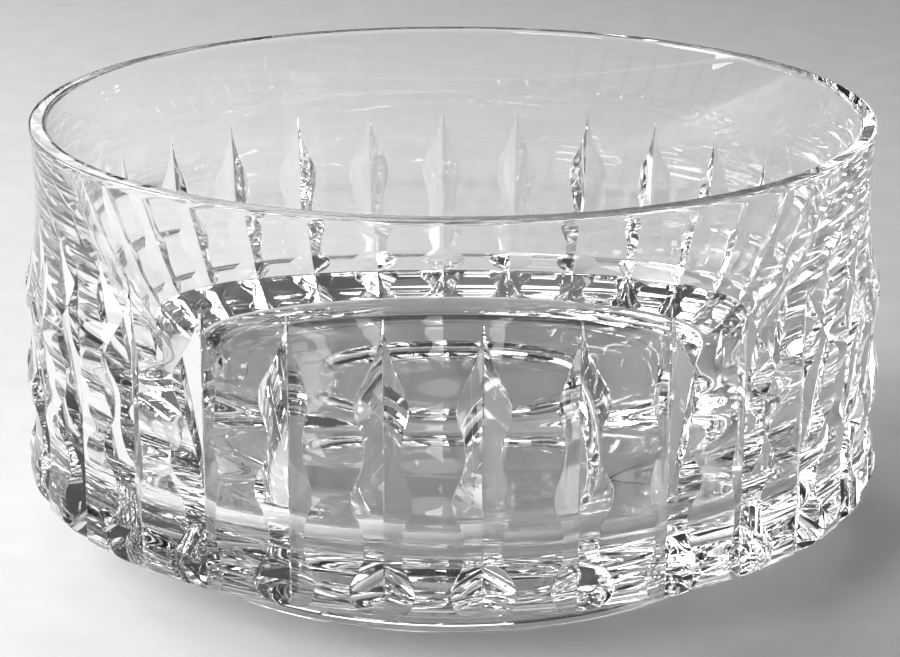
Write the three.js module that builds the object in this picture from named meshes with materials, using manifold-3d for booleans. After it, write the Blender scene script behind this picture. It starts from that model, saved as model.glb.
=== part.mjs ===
// A heavy cut-glass bowl: one turned piece of clear glass with upright mitre cuts round its side.
// Millimetres, +Z up, with the origin on the table under the middle of the foot.
import * as THREE from "three";
import { mergeVertices, toCreasedNormals } from "three/addons/utils/BufferGeometryUtils.js";
import Module from "manifold-3d";

// Radii of the turned outside
const RIM_RADIUS = 100;
const SHOULDER_INSET = 0.8;
const FOOT_RADIUS = 72;

// Heights of the outside, each from the one below it
const FOOT_HEIGHT = 14.4;
const FOOT_TO_LOW_CROWN = 7.8;
const LOW_CROWN_TO_LOW_WAIST = 9.2;
const LOW_WAIST_TO_MIDDLE_CROWN = 11.8;
const MIDDLE_CROWN_TO_HIGH_WAIST = 9.8;
const HIGH_WAIST_TO_HIGH_CROWN = 10.2;
const HIGH_CROWN_TO_SHOULDER = 23.7;
const SHOULDER_TO_RIM = 16.6;

// How far each swelling stands out past the crease of the cuts
const LOW_CROWN_SWELL = 4;
const MIDDLE_CROWN_SWELL = 3.65;
const HIGH_CROWN_SWELL = 3.15;
const LOW_WAIST_SWELL = 2.1;
const HIGH_WAIST_SWELL = 2.1;

// Roundness of each swelling, as the share of a flank that its handle takes
const CROWN_HANDLE = 0.35;
const WAIST_HANDLE = 0.55;
const SPEAR_CROWN_HANDLE = 0.25;
const SPEAR_SHOULDER_HANDLE = 0.72;
const SHOULDER_FLARE = 0.47;

// Overhang between the foot and the low swelling
const OVERHANG_SLOPE = 2.8;
const OVERHANG_ROUNDING = 5.5;

// Foot: the flare of its side, the ring it stands on, the recess inside the ring and the dome in that
const FOOT_FLARE = 1.8;
const FOOT_FILLET = 1.4;
const FOOT_ROUNDING = 0.6;
const FOOT_RING_WIDTH = 9.4;
const FOOT_RECESS = 0.4;
const DOME_RADIUS = 38;
const DOME_HEIGHT = 7;

// Inside: a tapering wall, a rounded corner and a floor that dips a little from the corner's edge
const RIM_WALL = 4.1;
const RIM_ROUNDING = 0.8;
const INNER_TAPER = 8.2;
const FLOOR_HEIGHT = 15.4;
const FLOOR_DIP = 2.55;
const FLOOR_EDGE_SLOPE = 16.2;
const CORNER_RISE = 17.35;
const CORNER_RUN = 20.2;
const CORNER_WALL_HANDLE = 0.51;
const CORNER_FLOOR_HANDLE = 0.41;

// Mitre cuts; the straight crease lies a little outside the shoulder, so each cut runs out to a point
const CUT_COUNT = 30;
const CUT_ANGLE = 125;
const CREASE_PAST_SHOULDER = 0.1;
const FIRST_CUT_AZIMUTH = 2.7;
const CUT_WANDER = 1;
const CUTTER_CLEARANCE = 2;

// Fineness of the facets
const TURNED_SIDES = 68;
const FLANK_STEPS = 4;
const SPEAR_STEPS = 4;
const CORNER_STEPS = 6;
const DOME_STEPS = 4;
const ROUNDING_STEPS = 2;

// Heights and radii that follow from the sizes above
const LOW_CROWN_HEIGHT = FOOT_HEIGHT + FOOT_TO_LOW_CROWN;
const LOW_WAIST_HEIGHT = LOW_CROWN_HEIGHT + LOW_CROWN_TO_LOW_WAIST;
const MIDDLE_CROWN_HEIGHT = LOW_WAIST_HEIGHT + LOW_WAIST_TO_MIDDLE_CROWN;
const HIGH_WAIST_HEIGHT = MIDDLE_CROWN_HEIGHT + MIDDLE_CROWN_TO_HIGH_WAIST;
const HIGH_CROWN_HEIGHT = HIGH_WAIST_HEIGHT + HIGH_WAIST_TO_HIGH_CROWN;
const SHOULDER_HEIGHT = HIGH_CROWN_HEIGHT + HIGH_CROWN_TO_SHOULDER;
const RIM_HEIGHT = SHOULDER_HEIGHT + SHOULDER_TO_RIM;
const SHOULDER_RADIUS = RIM_RADIUS - SHOULDER_INSET;
const CREASE_RADIUS = SHOULDER_RADIUS + CREASE_PAST_SHOULDER;

const radians = THREE.MathUtils.degToRad;

function point(radius, height) {
  return new THREE.Vector2(radius, height);
}

// Points along a curve without its first one, which the line so far already holds
function along(curve, steps) {
  return curve.getPoints(steps).slice(1);
}

// A flank between two levels of the side, upright at both ends, in the order given
function flank(from, to, fromHandle, toHandle) {
  const rise = to.y - from.y;
  return new THREE.CubicBezierCurve(
    from,
    point(from.x, from.y + rise * fromHandle),
    point(to.x, to.y - rise * toHandle),
    to,
  );
}

// The outside from the foot's ring up to the rim, with its swellings
function outsideLine() {
  const lowCrown = point(CREASE_RADIUS + LOW_CROWN_SWELL, LOW_CROWN_HEIGHT);
  const lowWaist = point(CREASE_RADIUS + LOW_WAIST_SWELL, LOW_WAIST_HEIGHT);
  const middleCrown = point(CREASE_RADIUS + MIDDLE_CROWN_SWELL, MIDDLE_CROWN_HEIGHT);
  const highWaist = point(CREASE_RADIUS + HIGH_WAIST_SWELL, HIGH_WAIST_HEIGHT);
  const highCrown = point(CREASE_RADIUS + HIGH_CROWN_SWELL, HIGH_CROWN_HEIGHT);
  const shoulder = point(SHOULDER_RADIUS, SHOULDER_HEIGHT);

  // The overhang runs out nearly level from the top of the foot and is rounded up to the low crown
  const footTop = point(FOOT_RADIUS + FOOT_FLARE, FOOT_HEIGHT);
  const rise = Math.tan(radians(OVERHANG_SLOPE));
  const overhangAt = (radius) => point(radius, FOOT_HEIGHT + (radius - footTop.x) * rise);
  const filletStart = point(footTop.x, FOOT_HEIGHT - FOOT_FILLET);
  const filletEnd = overhangAt(footTop.x + FOOT_FILLET);
  const overhang = overhangAt(lowCrown.x - OVERHANG_ROUNDING);
  const underCrown = overhangAt(lowCrown.x);

  // Above the shoulder the side flares out again to the rim
  const flare = point(SHOULDER_RADIUS, SHOULDER_HEIGHT + SHOULDER_TO_RIM * SHOULDER_FLARE);
  const rimCorner = point(RIM_RADIUS, RIM_HEIGHT);
  const rimSide = point(RIM_RADIUS, RIM_HEIGHT - RIM_ROUNDING);
  const rimTop = point(RIM_RADIUS - RIM_ROUNDING, RIM_HEIGHT);
  return [
    point(FOOT_RADIUS - FOOT_ROUNDING, 0),
    point(FOOT_RADIUS, FOOT_ROUNDING),
    filletStart,
    ...along(new THREE.QuadraticBezierCurve(filletStart, footTop, filletEnd), ROUNDING_STEPS),
    overhang,
    ...along(new THREE.QuadraticBezierCurve(overhang, underCrown, lowCrown), FLANK_STEPS),
    ...along(flank(lowCrown, lowWaist, CROWN_HANDLE, WAIST_HANDLE), FLANK_STEPS),
    ...along(flank(lowWaist, middleCrown, WAIST_HANDLE, CROWN_HANDLE), FLANK_STEPS),
    ...along(flank(middleCrown, highWaist, CROWN_HANDLE, WAIST_HANDLE), FLANK_STEPS),
    ...along(flank(highWaist, highCrown, WAIST_HANDLE, CROWN_HANDLE), FLANK_STEPS),
    ...along(flank(highCrown, shoulder, SPEAR_CROWN_HANDLE, SPEAR_SHOULDER_HANDLE), SPEAR_STEPS),
    ...along(new THREE.QuadraticBezierCurve(shoulder, flare, rimSide), FLANK_STEPS),
    ...along(new THREE.QuadraticBezierCurve(rimSide, rimCorner, rimTop), ROUNDING_STEPS),
  ];
}

// The inside from the rim down the tapering wall, round the corner and along the floor to the middle
function insideLine() {
  const mouthRadius = RIM_RADIUS - RIM_WALL;
  const lean = Math.tan(radians(INNER_TAPER));
  const wallAt = (height) => point(mouthRadius - (RIM_HEIGHT - height) * lean, height);
  const rimTop = point(mouthRadius + RIM_ROUNDING, RIM_HEIGHT);
  const rimSide = wallAt(RIM_HEIGHT - RIM_ROUNDING);
  const slope = Math.tan(radians(FLOOR_EDGE_SLOPE));
  const edgeHeight = FLOOR_HEIGHT + FLOOR_DIP;
  const cornerTop = wallAt(edgeHeight + CORNER_RISE);
  const floorEdge = point(wallAt(edgeHeight).x - CORNER_RUN, edgeHeight);

  // Where the line of the wall and the line of the floor's edge would meet
  const meeting = (edgeHeight + slope * (wallAt(0).x - floorEdge.x)) / (1 - slope * lean);
  const wallPull = cornerTop.clone().lerp(wallAt(meeting), CORNER_WALL_HANDLE);
  const floorPull = floorEdge.clone().lerp(wallAt(meeting), CORNER_FLOOR_HANDLE);
  const dip = point(floorEdge.x - FLOOR_DIP / slope, FLOOR_HEIGHT);
  const levelEdge = point(floorEdge.x - (2 * FLOOR_DIP) / slope, FLOOR_HEIGHT);
  return [
    rimTop,
    ...along(new THREE.QuadraticBezierCurve(rimTop, wallAt(RIM_HEIGHT), rimSide), ROUNDING_STEPS),
    cornerTop,
    ...along(new THREE.CubicBezierCurve(cornerTop, wallPull, floorPull, floorEdge), CORNER_STEPS),
    ...along(new THREE.QuadraticBezierCurve(floorEdge, dip, levelEdge), FLANK_STEPS),
    point(0, FLOOR_HEIGHT),
  ];
}

// The underside from the middle out to the ring that the bowl stands on
function undersideLine() {
  const ringInside = FOOT_RADIUS - FOOT_ROUNDING - FOOT_RING_WIDTH;
  const domeTop = point(0, FOOT_RECESS + DOME_HEIGHT);
  const domePull = point(DOME_RADIUS / 2, FOOT_RECESS + DOME_HEIGHT);
  const domeEdge = point(DOME_RADIUS, FOOT_RECESS);
  return [
    domeTop,
    ...along(new THREE.QuadraticBezierCurve(domeTop, domePull, domeEdge), DOME_STEPS),
    point(ringInside - FOOT_RECESS, FOOT_RECESS),
    point(ringInside, 0),
  ];
}

// Joins coincident corners and drops the empty triangles that a turned shape has on its axis
function closedGeometry(geometry) {
  const bare = geometry.clone();
  bare.deleteAttribute("normal");
  bare.deleteAttribute("uv");
  const merged = mergeVertices(bare, 1e-4);
  const corners = merged.index.array;
  const kept = [];
  for (let i = 0; i < corners.length; i += 3) {
    const [a, b, c] = corners.slice(i, i + 3);
    if (a !== b && b !== c && c !== a) kept.push(a, b, c);
  }
  merged.setIndex(kept);
  return merged;
}

function turnedBlank() {
  const line = [...undersideLine(), ...outsideLine(), ...insideLine()];
  const turned = new THREE.LatheGeometry(line, TURNED_SIDES);
  turned.rotateX(Math.PI / 2);
  return closedGeometry(turned);
}

// Azimuth of one cut from -Y towards +X, with the slow wander of a pattern marked out by hand
function cutAzimuth(index) {
  const even = radians(FIRST_CUT_AZIMUTH) + (index / CUT_COUNT) * 2 * Math.PI;
  return even + radians(CUT_WANDER) * Math.cos(even);
}

// What the edge of the cutting wheel takes out: an upright wedge with its edge on the crease
function cutWedge(azimuth) {
  const reach = LOW_CROWN_SWELL + CUTTER_CLEARANCE;
  const halfWidth = reach * Math.tan(radians(CUT_ANGLE / 2));
  const section = new THREE.Shape([
    point(0, -CREASE_RADIUS),
    point(-halfWidth, -CREASE_RADIUS - reach),
    point(halfWidth, -CREASE_RADIUS - reach),
  ]);
  const foot = FOOT_HEIGHT - CUTTER_CLEARANCE;
  const wedge = new THREE.ExtrudeGeometry(section, { depth: SHOULDER_HEIGHT - foot, bevelEnabled: false });
  wedge.translate(0, 0, foot);
  wedge.rotateZ(azimuth);
  return closedGeometry(wedge);
}

const wasm = await Module();
wasm.setup();

function toSolid(geometry) {
  return new wasm.Manifold(new wasm.Mesh({
    numProp: 3,
    vertProperties: new Float32Array(geometry.attributes.position.array),
    triVerts: new Uint32Array(geometry.index.array),
  }));
}

function toGeometry(solid) {
  const mesh = solid.getMesh();
  const geometry = new THREE.BufferGeometry();
  geometry.setAttribute("position", new THREE.BufferAttribute(mesh.vertProperties, 3));
  geometry.setIndex(new THREE.BufferAttribute(mesh.triVerts, 1));
  return toCreasedNormals(geometry, radians(20));
}

function bowlGeometry() {
  let solid = toSolid(turnedBlank());
  for (let index = 0; index < CUT_COUNT; index += 1) {
    solid = solid.subtract(toSolid(cutWedge(cutAzimuth(index))));
  }
  return toGeometry(solid);
}

const glass = new THREE.MeshStandardMaterial({
  color: 0xe6ebea,
  roughness: 0.03,
  metalness: 0,
  transparent: true,
  opacity: 0.45,
});

const bowl = new THREE.Mesh(bowlGeometry(), glass);
bowl.name = "bowl";

const part = new THREE.Group();
part.add(bowl);

export default part;
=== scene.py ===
"""Dresses the cut glass bowl: its fine glass mesh, finishes, studio and camera. Metres, +Z up."""

import logging
import math
from dataclasses import dataclass, field
from enum import Enum

import bmesh
import bpy
from mathutils import Matrix, Vector
from mathutils.geometry import interpolate_bezier


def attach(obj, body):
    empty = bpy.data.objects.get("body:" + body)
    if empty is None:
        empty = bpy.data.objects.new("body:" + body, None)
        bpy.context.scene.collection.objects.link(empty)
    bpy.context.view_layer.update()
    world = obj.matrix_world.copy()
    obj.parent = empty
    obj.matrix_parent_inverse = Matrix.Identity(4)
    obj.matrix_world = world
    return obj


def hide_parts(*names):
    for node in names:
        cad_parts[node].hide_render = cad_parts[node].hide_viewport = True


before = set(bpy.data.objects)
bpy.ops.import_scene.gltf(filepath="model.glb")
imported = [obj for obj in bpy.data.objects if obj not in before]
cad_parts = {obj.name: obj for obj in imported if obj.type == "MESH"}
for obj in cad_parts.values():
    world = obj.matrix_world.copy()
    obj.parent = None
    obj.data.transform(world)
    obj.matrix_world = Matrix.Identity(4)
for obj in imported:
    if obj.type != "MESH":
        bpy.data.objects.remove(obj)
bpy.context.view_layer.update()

MM = 0.001
LOG = logging.getLogger("cut_glass_bowl")

CENTRE = (0.0, 0.0, 0.0)
UPRIGHT = (0.0, 0.0, 1.0)

# Distances in metres below which places on the mesh are taken to be the same.
SAME_POINT = 1e-7
SAME_POINT_AT_SEAM = 2e-6
NO_LENGTH = 1e-8
ON_AXIS = 1e-6


def along(start: Vector, first: Vector, second: Vector, end: Vector, steps: int) -> list[Vector]:
    """Points on a cubic curve, without its first one.

    Args:
        start: Where the curve begins.
        first: The handle that leaves the start.
        second: The handle that reaches the end.
        end: Where the curve ends.
        steps: How many stretches the curve is divided into.

    Returns:
        The points after the start, in order, the end included.
    """
    return [Vector(p) for p in interpolate_bezier(start, first, second, end, steps + 1)][1:]


def rounded(start: Vector, corner: Vector, end: Vector, steps: int) -> list[Vector]:
    """Points on a curve that rounds off a corner, without the first one.

    Args:
        start: Where the rounding leaves the first side.
        corner: The sharp corner.
        end: Where the rounding meets the second side.
        steps: How many stretches the curve is divided into.

    Returns:
        The points after the start, in order, the end included.
    """
    pull = 2 / 3
    return along(start, start.lerp(corner, pull), end.lerp(corner, pull), end, steps)


def level(radius: float, height: float) -> Vector:
    """A point of the section, given in millimetres, on the side that faces -Y."""
    return Vector((0.0, -radius * MM, height * MM))


def held(line: list[Vector], longest: float, hold: float) -> list[Vector]:
    """Adds a point close to each end of every long stretch, so that its shading stays flat.

    Args:
        line: The points of the section, in order.
        longest: The longest stretch, in millimetres, that is left as it is.
        hold: How far from its ends the points are put, in millimetres.

    Returns:
        The points with the added ones among them.
    """
    points = [line[0]]
    for start, end in zip(line, line[1:]):
        length = (end - start).length
        if length > longest * MM:
            share = hold * MM / length
            points += [start.lerp(end, share), end.lerp(start, share)]
        points.append(end)
    return points


def everything(bm: bmesh.types.BMesh) -> list[bmesh.types.BMVert | bmesh.types.BMEdge | bmesh.types.BMFace]:
    """All the points, edges and faces of a mesh."""
    return bm.verts[:] + bm.edges[:] + bm.faces[:]


def weld(bm: bmesh.types.BMesh) -> None:
    """Makes one point of those that coincide and takes out what has no size.

    Args:
        bm: The mesh, changed in place.
    """
    bmesh.ops.remove_doubles(bm, verts=bm.verts, dist=SAME_POINT)
    bmesh.ops.dissolve_degenerate(bm, edges=bm.edges, dist=NO_LENGTH)


def placed(bm: bmesh.types.BMesh, name: str, finish: bpy.types.Material) -> bpy.types.Object:
    """Makes an object of a finished mesh and puts it in the scene.

    Args:
        bm: The mesh, which is freed.
        name: The object's name.
        finish: Its material.

    Returns:
        The object, at the origin.
    """
    mesh = bpy.data.meshes.new(name)
    bm.to_mesh(mesh)
    bm.free()
    mesh.materials.append(finish)
    made = bpy.data.objects.new(name, mesh)
    bpy.context.scene.collection.objects.link(made)
    return made


@dataclass(frozen=True)
class TurnedOutside:
    """The outside of the turned blank, in millimetres and degrees, from the foot up to the rim.

    A pair is a radius and a height. A handle is the share of a flank's rise that holds it upright.
    """

    rim_radius: float = 100.0
    rim_height: float = 103.5
    rim_rounding: float = 0.8
    shoulder: tuple[float, float] = (99.2, 86.9)
    shoulder_flare: float = 94.7
    high_crown: tuple[float, float] = (102.45, 63.2)
    high_waist: tuple[float, float] = (101.4, 53.0)
    middle_crown: tuple[float, float] = (102.95, 43.2)
    low_waist: tuple[float, float] = (101.4, 31.4)
    low_crown: tuple[float, float] = (103.18, 22.2)
    overhang: tuple[float, float] = (97.8, 15.55)
    overhang_slope: float = 2.8
    foot_radius: float = 72.0
    foot_flare: float = 1.8
    foot_fillet: float = 1.4
    foot_rounding: float = 0.6
    crown_handle: float = 0.35
    waist_handle: float = 0.55
    spear_crown_handle: float = 0.25
    spear_shoulder_handle: float = 0.72
    flank_steps: int = 14
    spear_steps: int = 22
    rounding_steps: int = 4

    def flank(self, start: Vector, end: Vector, leaving: float, meeting: float, steps: int) -> list[Vector]:
        """Points on a flank that is upright at both of its ends.

        Args:
            start: The lower end.
            end: The upper end.
            leaving: The share of the rise that the lower handle takes.
            meeting: The share of the rise that the upper handle takes.
            steps: How many stretches the flank is divided into.

        Returns:
            The points after the start, in order.
        """
        rise = Vector((0.0, 0.0, end.z - start.z))
        return along(start, start + rise * leaving, end - rise * meeting, end, steps)

    def underneath(self, radius: float) -> Vector:
        """The point of the nearly level overhang at a radius.

        Args:
            radius: The radius, in millimetres.

        Returns:
            The point on the overhang's line, which may run on past either end.
        """
        rise = math.tan(math.radians(self.overhang_slope))
        return level(radius, self.overhang[1] + (radius - self.overhang[0]) * rise)

    def points(self) -> list[Vector]:
        """The outside from the foot's edge to the top of the rim.

        Returns:
            The points in order.
        """
        low_crown = level(*self.low_crown)
        low_waist = level(*self.low_waist)
        middle_crown = level(*self.middle_crown)
        high_waist = level(*self.high_waist)
        high_crown = level(*self.high_crown)
        shoulder = level(*self.shoulder)
        flare = level(self.shoulder[0], self.shoulder_flare)
        overhang = level(*self.overhang)
        bottom = self.underneath(self.low_crown[0])
        foot_top = self.underneath(self.foot_radius + self.foot_flare)
        fillet_end = self.underneath(self.foot_radius + self.foot_flare + self.foot_fillet)
        fillet_start = foot_top - Vector((0.0, 0.0, self.foot_fillet * MM))
        rim_side = level(self.rim_radius, self.rim_height - self.rim_rounding)
        rim_corner = level(self.rim_radius, self.rim_height)
        rim_top = level(self.rim_radius - self.rim_rounding, self.rim_height)
        foot_edge = level(self.foot_radius - self.foot_rounding, 0.0)
        foot_corner = level(self.foot_radius, 0.0)
        foot_side = level(self.foot_radius, self.foot_rounding)
        crown, waist, steps = self.crown_handle, self.waist_handle, self.flank_steps
        return [
            foot_edge,
            *rounded(foot_edge, foot_corner, foot_side, self.rounding_steps),
            fillet_start,
            *rounded(fillet_start, foot_top, fillet_end, self.rounding_steps),
            overhang,
            *rounded(overhang, bottom, low_crown, steps),
            *self.flank(low_crown, low_waist, crown, waist, steps),
            *self.flank(low_waist, middle_crown, waist, crown, steps),
            *self.flank(middle_crown, high_waist, crown, waist, steps),
            *self.flank(high_waist, high_crown, waist, crown, steps),
            *self.flank(
                high_crown, shoulder, self.spear_crown_handle, self.spear_shoulder_handle, self.spear_steps
            ),
            *rounded(shoulder, flare, rim_side, steps),
            *rounded(rim_side, rim_corner, rim_top, self.rounding_steps),
        ]


@dataclass(frozen=True)
class MouldedInside:
    """The inside, in millimetres and degrees: a tapering wall, a wide rounded corner and the floor.

    A handle is the share of the way from its end to the sharp corner.
    """

    rim_wall: float = 4.1
    taper: float = 8.2
    corner_top: float = 35.3
    floor_edge: tuple[float, float] = (63.3, 17.95)
    floor_slope: float = 16.2
    floor_height: float = 15.4
    wall_handle: float = 0.51
    floor_handle: float = 0.41
    corner_steps: int = 28
    floor_steps: int = 12

    def points(self, outside: TurnedOutside) -> list[Vector]:
        """The inside from the top of the rim to the middle of the floor.

        Args:
            outside: The outside that the wall is measured from.

        Returns:
            The points in order, the last on the axis.
        """
        lean = math.tan(math.radians(self.taper))
        mouth = outside.rim_radius - self.rim_wall
        rounding = outside.rim_rounding

        def wall(height: float) -> Vector:
            """The inside of the wall at a height."""
            return level(mouth - (outside.rim_height - height) * lean, height)

        rim_top = level(mouth + rounding, outside.rim_height)
        rim_side = wall(outside.rim_height - rounding)
        corner_top = wall(self.corner_top)
        edge_radius, edge_height = self.floor_edge
        slope = math.tan(math.radians(self.floor_slope))
        foot_of_wall = mouth - outside.rim_height * lean
        sharp = wall((edge_height + slope * (foot_of_wall - edge_radius)) / (1 - slope * lean))
        edge = level(edge_radius, edge_height)
        sag = edge_height - self.floor_height
        dip = level(edge_radius - sag / slope, self.floor_height)
        flat = level(edge_radius - 2 * sag / slope, self.floor_height)
        return [
            rim_top,
            *rounded(rim_top, wall(outside.rim_height), rim_side, outside.rounding_steps),
            corner_top,
            *along(
                corner_top,
                corner_top.lerp(sharp, self.wall_handle),
                edge.lerp(sharp, self.floor_handle),
                edge,
                self.corner_steps,
            ),
            *rounded(edge, dip, flat, self.floor_steps),
            level(0.0, self.floor_height),
        ]


@dataclass(frozen=True)
class RingFoot:
    """The underside, in millimetres: a flat ring round a shallow recess with a low dome in it."""

    ring_inside: float = 62.0
    recess: float = 0.4
    dome_radius: float = 38.0
    dome_height: float = 7.0
    dome_steps: int = 16

    def points(self) -> list[Vector]:
        """The underside from the middle out to the inner edge of the ring.

        Returns:
            The points in order, the first on the axis.
        """
        crown = level(0.0, self.recess + self.dome_height)
        edge = level(self.dome_radius, self.recess)
        middle = level(self.dome_radius / 2, self.recess + self.dome_height)
        return [
            crown,
            *rounded(crown, middle, edge, self.dome_steps),
            level(self.ring_inside - self.recess, self.recess),
            level(self.ring_inside, 0.0),
        ]


class CutEdge(Enum):
    """The edges of a cut, each with the width that polishing takes off it, in millimetres."""

    CREASE = 0.22
    OUTLINE = 0.12

    def holds(self, edge: bmesh.types.BMEdge) -> bool:
        """Whether an edge of the mesh, whose cut faces are marked flat, is of this kind.

        Args:
            edge: An edge of the half sector and its mirror image.

        Returns:
            True for an edge of this kind.
        """
        if len(edge.link_faces) != 2:
            return False
        flat = sum(not face.smooth for face in edge.link_faces)
        if self is CutEdge.CREASE:
            return flat == 2 and all(abs(vert.co.x) < SAME_POINT for vert in edge.verts)
        return flat == 1


@dataclass(frozen=True)
class MitreCuts:
    """The upright cuts round the side, in millimetres and degrees."""

    count: int = 30
    angle: float = 125.0
    crease_radius: float = 99.3
    first_azimuth: float = 2.7
    wander: float = 1.0

    def pitch(self) -> float:
        """The angle from one cut to the next, in radians."""
        return 2 * math.pi / self.count

    def crease(self, height: float) -> Vector:
        """A point of the crease, in metres, for the cut that faces -Y."""
        return Vector((0.0, -self.crease_radius * MM, height))

    def face_normal(self) -> Vector:
        """The direction that the cut's face on the +X side looks in, for the cut that faces -Y."""
        half = math.radians(self.angle / 2)
        return Vector((-math.cos(half), -math.sin(half), 0.0))

    def settled(self, azimuth: float) -> float:
        """Where the slow wander of the marking-out puts what an even pattern has at an azimuth.

        Args:
            azimuth: The even azimuth, from -Y towards +X, in radians.

        Returns:
            The azimuth with the wander added.
        """
        return azimuth + math.radians(self.wander) * math.cos(azimuth)


@dataclass(frozen=True)
class ClearCrystal:
    """Clear polished lead glass."""

    name: str = "clear_crystal"
    refraction: float = 1.555
    roughness: float = 0.0
    clearness: float = 1.0
    tint: tuple[float, float, float, float] = (0.99, 0.995, 0.993, 1.0)

    def material(self) -> bpy.types.Material:
        """Builds the glass.

        Returns:
            The material.
        """
        made = bpy.data.materials.new(self.name)
        made.use_nodes = True
        shader = made.node_tree.nodes["Principled BSDF"]
        shader.inputs["Base Color"].default_value = self.tint
        shader.inputs["Roughness"].default_value = self.roughness
        shader.inputs["IOR"].default_value = self.refraction
        shader.inputs["Transmission Weight"].default_value = self.clearness
        return made


@dataclass
class CutGlassBowl:
    """The bowl itself, one piece of glass, turned and then cut; in millimetres and degrees."""

    outside: TurnedOutside = field(default_factory=TurnedOutside)
    inside: MouldedInside = field(default_factory=MouldedInside)
    foot: RingFoot = field(default_factory=RingFoot)
    cuts: MitreCuts = field(default_factory=MitreCuts)
    finish: ClearCrystal = field(default_factory=ClearCrystal)
    half_pitch_steps: int = 5
    longest_stretch: float = 4.0
    hold: float = 0.12
    overhang_left: float = 0.5
    polish_steps: int = 2
    polish_room: float = 4.0
    sharp_angle: float = 24.0
    name: str = "cut_glass_bowl"
    node: str = "bowl"
    slot: str = "glass"

    def half_sector(self) -> bmesh.types.BMesh:
        """The turned surface from the middle of a cut to half way to the next one.

        Returns:
            The open surface, all of it marked smooth.
        """
        bm = bmesh.new()
        line = [
            *self.foot.points(),
            *self.outside.points(),
            *self.inside.points(self.outside),
        ]
        verts = [bm.verts.new(point) for point in held(line, self.longest_stretch, self.hold)]
        edges = [bm.edges.new(pair) for pair in zip(verts, verts[1:])]
        bmesh.ops.spin(
            bm,
            geom=verts + edges,
            cent=CENTRE,
            axis=UPRIGHT,
            angle=self.cuts.pitch() / 2,
            steps=self.half_pitch_steps,
            use_merge=False,
        )
        weld(bm)
        for face in bm.faces:
            face.smooth = True
        return bm

    def cut_half(self, bm: bmesh.types.BMesh) -> None:
        """Grinds one face of a mitre cut into the half sector and closes it.

        The faces of the cut are marked flat, which is how its edges are found later.

        Args:
            bm: The half sector, changed in place.
        """
        top = self.outside.shoulder[1] * MM + SAME_POINT
        innermost = (self.outside.overhang[0] - self.overhang_left) * MM
        reached = [
            face for face in bm.faces
            if all(v.co.z <= top and v.co.xy.length > innermost for v in face.verts)
        ]
        edges = dict.fromkeys(edge for face in reached for edge in face.edges)
        verts = dict.fromkeys(vert for face in reached for vert in face.verts)
        result = bmesh.ops.bisect_plane(
            bm,
            geom=[*reached, *edges, *verts],
            dist=NO_LENGTH,
            plane_co=self.cuts.crease(0.0),
            plane_no=self.cuts.face_normal(),
            clear_outer=True,
        )
        outline = [e for e in result["geom_cut"] if isinstance(e, bmesh.types.BMEdge)]
        made = bmesh.ops.extrude_edge_only(bm, edges=outline)["geom"]
        for vert in (item for item in made if isinstance(item, bmesh.types.BMVert)):
            vert.co = self.cuts.crease(vert.co.z)
        for face in (item for item in made if isinstance(item, bmesh.types.BMFace)):
            face.smooth = False
        weld(bm)

    def has_room(self, edge: bmesh.types.BMEdge, width: float) -> bool:
        """Whether the cut is wide enough at one of its edges for the edge to be rounded.

        Args:
            edge: An edge of the cut.
            width: What polishing takes off the edge, in metres.

        Returns:
            False where a level edge of a cut face beside it is too short.
        """
        beside = [e for v in edge.verts for f in v.link_faces if not f.smooth for e in f.edges]
        return all(
            e.calc_length() > self.polish_room * width
            or abs(e.verts[0].co.z - e.verts[1].co.z) > SAME_POINT
            for e in beside
        )

    def polish_edges(self, bm: bmesh.types.BMesh) -> None:
        """Softens the edges of the cut as acid polishing does.

        Args:
            bm: The sector, changed in place.
        """
        for kind in CutEdge:
            width = kind.value * MM
            made = bmesh.ops.bevel(
                bm,
                geom=[edge for edge in bm.edges if kind.holds(edge) and self.has_room(edge, width)],
                affect="EDGES",
                offset=width,
                offset_type="OFFSET",
                segments=self.polish_steps,
                profile=0.5,
                material=-1,
                clamp_overlap=False,
            )
            for face in made["faces"]:
                face.smooth = False

    def set_azimuths(self, bm: bmesh.types.BMesh) -> None:
        """Turns the pattern to its place and gives it the wander of its marking-out.

        Args:
            bm: The whole bowl, changed in place.
        """
        first = math.radians(self.cuts.first_azimuth)
        for vert in bm.verts:
            radius = vert.co.xy.length
            if radius < ON_AXIS:
                continue
            azimuth = math.atan2(vert.co.x, -vert.co.y) + first
            turned = self.cuts.settled(azimuth)
            vert.co.x = radius * math.sin(turned)
            vert.co.y = -radius * math.cos(turned)

    def whole(self) -> bmesh.types.BMesh:
        """The closed surface of the whole bowl.

        Returns:
            The surface, with its edges marked smooth or sharp.
        """
        bm = self.half_sector()
        self.cut_half(bm)
        bmesh.ops.mirror(bm, geom=everything(bm), axis="X", merge_dist=SAME_POINT)
        bmesh.ops.recalc_face_normals(bm, faces=bm.faces)
        self.polish_edges(bm)
        copies = self.cuts.count - 1
        bmesh.ops.spin(
            bm,
            geom=everything(bm),
            cent=CENTRE,
            axis=UPRIGHT,
            angle=self.cuts.pitch() * copies,
            steps=copies,
            use_duplicate=True,
        )
        bmesh.ops.remove_doubles(bm, verts=bm.verts, dist=SAME_POINT_AT_SEAM)
        self.set_azimuths(bm)
        bmesh.ops.recalc_face_normals(bm, faces=bm.faces)
        for edge in bm.edges:
            edge.smooth = edge.calc_face_angle() < math.radians(self.sharp_angle)
        return bm

    def build(self) -> bpy.types.Object:
        """Makes the bowl's object and dresses it.

        Returns:
            The bowl, which stands for its CAD node.
        """
        bowl = placed(self.whole(), self.name, self.finish.material())
        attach(bowl, "root")
        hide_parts(self.node)
        return bowl


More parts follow.
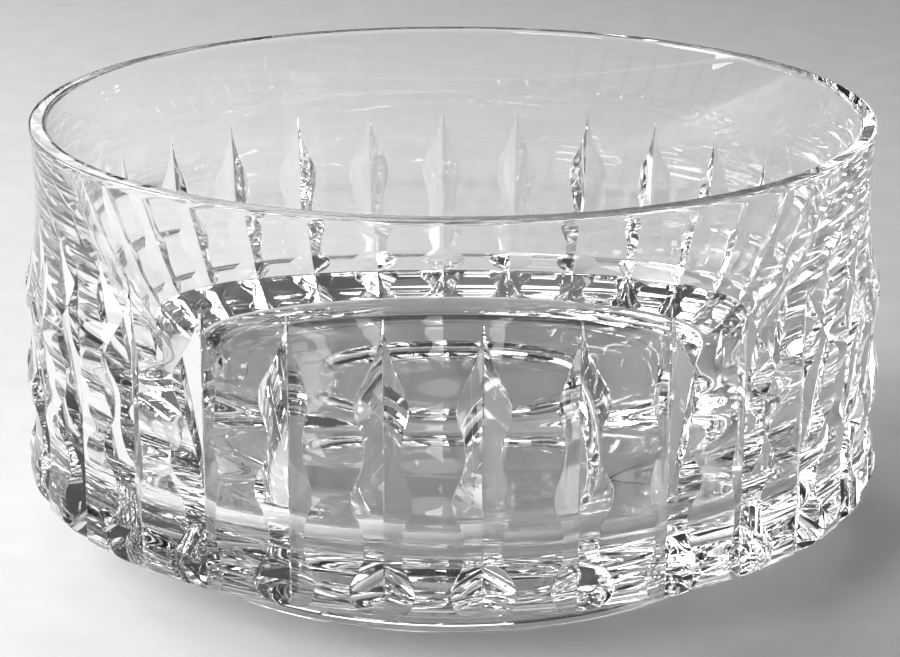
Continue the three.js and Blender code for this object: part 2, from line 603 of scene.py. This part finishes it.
@dataclass(frozen=True)
class PaperGround:
    """Pale matt paper with a faint cloudy grain that the bowl stands on."""

    name: str = "pale_paper"
    dark: tuple[float, float, float, float] = (0.69, 0.69, 0.69, 1.0)
    dark_until: float = 0.3
    light: tuple[float, float, float, float] = (0.74, 0.74, 0.74, 1.0)
    light_from: float = 0.7
    grain_scale: float = 55.0
    grain_detail: float = 5.0
    roughness: float = 0.9

    def material(self) -> bpy.types.Material:
        """Builds the paper.

        Returns:
            The material.
        """
        made = bpy.data.materials.new(self.name)
        made.use_nodes = True
        nodes, links = made.node_tree.nodes, made.node_tree.links
        place = nodes.new("ShaderNodeTexCoord")
        grain = nodes.new("ShaderNodeTexNoise")
        grain.inputs["Scale"].default_value = self.grain_scale
        grain.inputs["Detail"].default_value = self.grain_detail
        tones = nodes.new("ShaderNodeValToRGB")
        darkest, lightest = tones.color_ramp.elements
        darkest.color, darkest.position = self.dark, self.dark_until
        lightest.color, lightest.position = self.light, self.light_from
        shader = nodes["Principled BSDF"]
        shader.inputs["Roughness"].default_value = self.roughness
        links.new(place.outputs["Object"], grain.inputs["Vector"])
        links.new(grain.outputs["Fac"], tones.inputs["Fac"])
        links.new(tones.outputs["Color"], shader.inputs["Base Color"])
        return made


@dataclass(frozen=True)
class SoftLamp:
    """A rectangular lamp on a dome round the bowl, in degrees, metres and watts."""

    azimuth: float
    elevation: float
    distance: float
    width: float
    height: float
    power: float
    aim: tuple[float, float, float] = (0.0, 0.0, 0.05)

    def place(self) -> Vector:
        """Where the middle of the lamp is; azimuths run from -Y towards +X.

        Returns:
            The place, in metres.
        """
        azimuth, elevation = math.radians(self.azimuth), math.radians(self.elevation)
        across = self.distance * math.cos(elevation)
        return Vector((
            across * math.sin(azimuth),
            -across * math.cos(azimuth),
            self.distance * math.sin(elevation),
        ))

    def build(self, name: str) -> bpy.types.Object:
        """Hangs the lamp so that it looks at the bowl.

        Args:
            name: The lamp's name.

        Returns:
            The lamp's object.
        """
        data = bpy.data.lights.new(name, "AREA")
        data.shape = "RECTANGLE"
        data.size = self.width
        data.size_y = self.height
        data.energy = self.power
        lamp = bpy.data.objects.new(name, data)
        lamp.location = self.place()
        towards = Vector(self.aim) - lamp.location
        lamp.rotation_euler = towards.to_track_quat("-Z", "Y").to_euler()
        bpy.context.scene.collection.objects.link(lamp)
        return lamp


class RoomLight(Enum):
    """The lamps: a window on the left in three parts, one in front of it, the ceiling and the back."""

    WINDOW = SoftLamp(azimuth=275, elevation=25, distance=1.0, width=0.42, height=0.4, power=6.3)
    WINDOW_TOP = SoftLamp(azimuth=262, elevation=45, distance=1.0, width=0.5, height=0.4, power=4.2)
    WINDOW_FOOT = SoftLamp(azimuth=255, elevation=8, distance=1.0, width=0.6, height=0.14, power=2.2)
    FRONT_WINDOW = SoftLamp(azimuth=325, elevation=30, distance=1.1, width=0.5, height=0.5, power=5.0)
    CEILING = SoftLamp(azimuth=215, elevation=76, distance=1.2, width=0.7, height=0.7, power=3.4)
    BACK_WALL = SoftLamp(azimuth=205, elevation=25, distance=1.3, width=0.6, height=0.4, power=1.6)


@dataclass(frozen=True)
class PhotoCamera:
    """The camera at the photograph's viewing angle, in metres and degrees, its lens in millimetres."""

    name: str = "photo_camera"
    place: tuple[float, float, float] = (0.0, -0.6386, 0.25154)
    pitch: float = -17.611
    yaw: float = 0.058
    roll: float = 0.106
    lens: float = 109.98
    nearest: float = 0.01

    def build(self) -> bpy.types.Object:
        """Sets up the camera and makes it the scene's own.

        Returns:
            The camera's object.
        """
        data = bpy.data.cameras.new(self.name)
        data.lens = self.lens
        data.clip_start = self.nearest
        camera = bpy.data.objects.new(self.name, data)
        camera.location = self.place
        upright = Matrix.Rotation(math.radians(90 + self.pitch), 4, "X")
        turn = Matrix.Rotation(math.radians(self.yaw), 4, "Z")
        roll = Matrix.Rotation(math.radians(self.roll), 4, "Z")
        camera.rotation_euler = (turn @ upright @ roll).to_euler()
        bpy.context.scene.collection.objects.link(camera)
        bpy.context.scene.camera = camera
        return camera


@dataclass(frozen=True)
class LightPaths:
    """How many surfaces light may meet on its way, enough for thick cut glass."""

    met: int = 24
    crossed: int = 24
    mirrored: int = 12

    def allow(self) -> None:
        """Gives the scene these limits."""
        cycles = bpy.context.scene.cycles
        cycles.max_bounces = self.met
        cycles.transmission_bounces = self.crossed
        cycles.glossy_bounces = self.mirrored


@dataclass
class Studio:
    """The floor, the room, its lamps and the camera, in metres."""

    floor_name: str = "paper_floor"
    floor_size: float = 6.0
    floor_gap: float = 0.0001
    room_tone: tuple[float, float, float, float] = (1.0, 1.0, 1.0, 1.0)
    room_strength: float = 0.02
    paper: PaperGround = field(default_factory=PaperGround)
    camera: PhotoCamera = field(default_factory=PhotoCamera)
    light_paths: LightPaths = field(default_factory=LightPaths)

    def floor(self) -> bpy.types.Object:
        """A wide level sheet of paper, a hair below the foot so that the two don't share a surface.

        Returns:
            The sheet's object.
        """
        bm = bmesh.new()
        bmesh.ops.create_grid(bm, x_segments=1, y_segments=1, size=self.floor_size / 2)
        sheet = placed(bm, self.floor_name, self.paper.material())
        sheet.location.z = -self.floor_gap
        return sheet

    def room(self) -> None:
        """A nearly dark room, which gives the glass its dark reflections."""
        world = bpy.data.worlds.new("room")
        bpy.context.scene.world = world
        world.use_nodes = True
        background = world.node_tree.nodes["Background"]
        background.inputs["Color"].default_value = self.room_tone
        background.inputs["Strength"].default_value = self.room_strength

    def build(self) -> list[bpy.types.Object]:
        """Sets up the floor, the room, the lamps and the camera.

        Returns:
            The floor, the lamps and the camera.
        """
        sheet = self.floor()
        self.room()
        lamps = [light.value.build(light.name.lower()) for light in RoomLight]
        camera = self.camera.build()
        self.light_paths.allow()
        return [sheet, *lamps, camera]


def report(piece: bpy.types.Object) -> None:
    """Logs a piece, with its number of faces if it has any.

    Args:
        piece: The bowl or a piece of the studio.
    """
    if piece.type == "MESH":
        LOG.info("%s: %d faces", piece.name, len(piece.data.polygons))
    else:
        LOG.info("%s: %s", piece.name, piece.type.lower())


def main() -> None:
    """Builds the bowl and then the studio, and reports each piece."""
    logging.basicConfig(level=logging.INFO, format="%(name)s: %(message)s")
    bpy.context.scene.view_settings.view_transform = "Standard"
    report(CutGlassBowl().build())
    for piece in Studio().build():
        report(piece)


if __name__ == "__main__":
    main()
